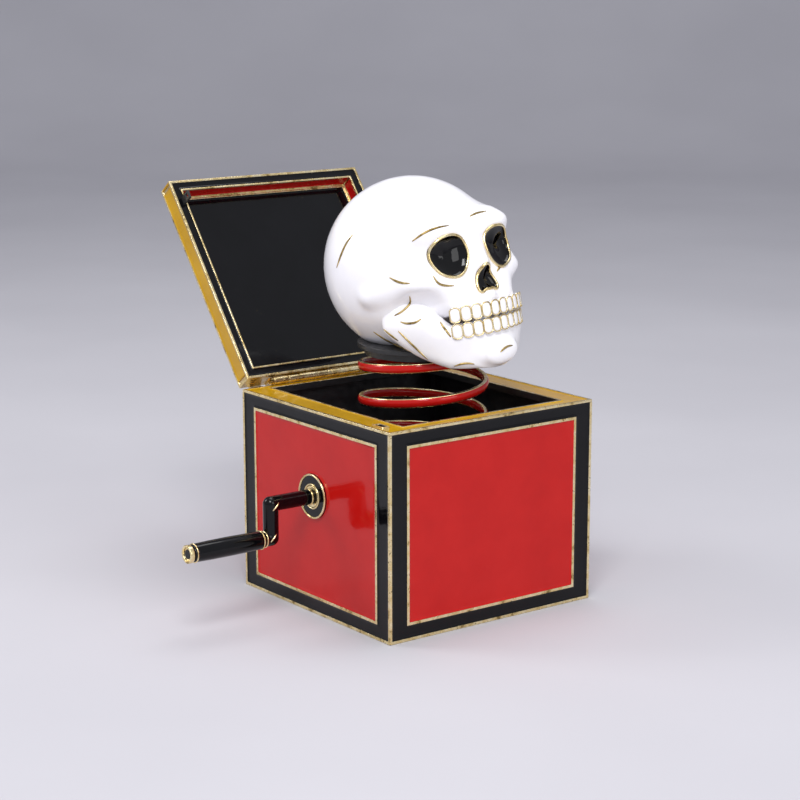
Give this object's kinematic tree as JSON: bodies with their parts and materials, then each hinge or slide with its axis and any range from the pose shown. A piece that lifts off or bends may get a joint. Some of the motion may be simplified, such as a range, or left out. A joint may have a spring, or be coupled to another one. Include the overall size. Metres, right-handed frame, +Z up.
{
  "type": "jack in the box",
  "caption": "Square box with raised brass lines around enamel panels, hinged hollow lid, side crank, and a skull head on a coil spring that folds down inside it",
  "frame": {"origin": "middle of the box's underside, on the table", "axes": "+X right, -Y front, +Z up; the crank is on the -X side and the lid hinges along the +Y edge"},
  "size_m": [0.2212, 0.2299, 0.2365],
  "materials": {
    "brass": "polished yellow brass, raised lines bright, flats lightly pitted",
    "black_enamel": "deep gloss black enamel",
    "red_enamel": "gloss red enamel, slightly domed between the brass lines",
    "mustard_enamel": "gloss mustard yellow enamel",
    "spring_red": "gloss red enamel on spring steel, brass edges",
    "steel": "plain machined steel",
    "black_steel": "satin black lacquered steel",
    "bone_white": "gloss white enamel over a moulded shell",
    "socket_black": "gloss black fill"
  },
  "bodies": {
    "box": {"base_plate": "brass", "base_screws": "steel", "corner_posts": "brass", "front_wall": "brass", "right_wall": "brass", "back_wall": "brass", "left_wall": "brass", "front_border": "black_enamel", "right_border": "black_enamel", "back_border": "black_enamel", "left_border": "black_enamel", "front_panel": "red_enamel", "right_panel": "red_enamel", "back_panel": "red_enamel", "left_panel": "red_enamel", "top_frame": "brass", "top_enamel": "mustard_enamel", "hinge_leaf_fixed": "brass", "hinge_pin": "brass", "hinge_rivets": "brass", "lid_stops": "brass", "crank_escutcheon": "black_enamel", "shaft_bush": "brass", "movement_plate": "brass", "movement_pillars": "brass", "drum_bracket": "brass", "comb_block": "black_steel", "music_comb": "steel", "comb_screws": "steel", "latch_spring": "steel", "latch_rivets": "brass", "spring_seat": "black_steel", "coil_spring": "spring_red"},
    "lid": {"lid_shell": "brass", "lid_rim_enamel": "black_enamel", "lid_side_enamel": "mustard_enamel", "lid_lining": "red_enamel", "lid_floor_enamel": "black_enamel", "lid_top_border": "black_enamel", "lid_top_panel": "red_enamel", "hinge_leaf_moving": "brass", "lid_catch": "black_steel"},
    "jack": {"skull_cranium": "bone_white", "skull_jaw": "bone_white", "upper_teeth": "bone_white", "lower_teeth": "bone_white", "socket_liners": "socket_black", "skull_base_plate": "black_steel", "skull_screws": "steel"},
    "crank": {"crank_rod": "black_enamel", "crank_gear": "brass", "shaft_collar": "steel", "grip_cap": "brass"},
    "grip": {"grip_sleeve": "black_enamel"},
    "idler": {"idler_gear": "brass", "idler_bush": "steel"},
    "drum": {"drum_gear": "brass", "drum_shaft": "steel", "tune_drum": "brass", "release_cam": "steel"}
  },
  "joints": [
    {"name": "lid_hinge", "type": "hinge", "parent": "box", "child": "lid", "pos_m": [0, 0.069, 0.1174], "axis": [-1, 0, 0], "range_deg": [-128, 0]},
    {"name": "jack_slide", "type": "slide", "parent": "box", "child": "jack", "axis": [0, 0, 1], "range_m": [-0.113, 0], "stiffness_N_per_m": 80, "springref_m": 0.06, "deforming": ["coil_spring"]},
    {"name": "crank_turn", "type": "hinge", "parent": "box", "child": "crank", "pos_m": [-0.07, 0, 0.067], "axis": [1, 0, 0], "continuous": true},
    {"name": "grip_spin", "type": "hinge", "parent": "crank", "child": "grip", "pos_m": [-0.12, 0, 0.048], "axis": [1, 0, 0], "continuous": true},
    {"name": "idler_turn", "type": "hinge", "parent": "box", "child": "idler", "pos_m": [-0.06, -0.01676, 0.05125], "axis": [1, 0, 0], "continuous": true},
    {"name": "drum_turn", "type": "hinge", "parent": "box", "child": "drum", "pos_m": [-0.05, -0.043, 0.0266], "axis": [1, 0, 0], "continuous": true, "deforming": ["music_comb", "latch_spring"]}
  ],
  "couplings": [
    {"joint": "jack_slide", "follows": "lid_hinge", "m_per_rad": 0.05058},
    {"joint": "idler_turn", "follows": "crank_turn", "ratio": -0.48387},
    {"joint": "drum_turn", "follows": "crank_turn", "ratio": 0.36585}
  ]
}
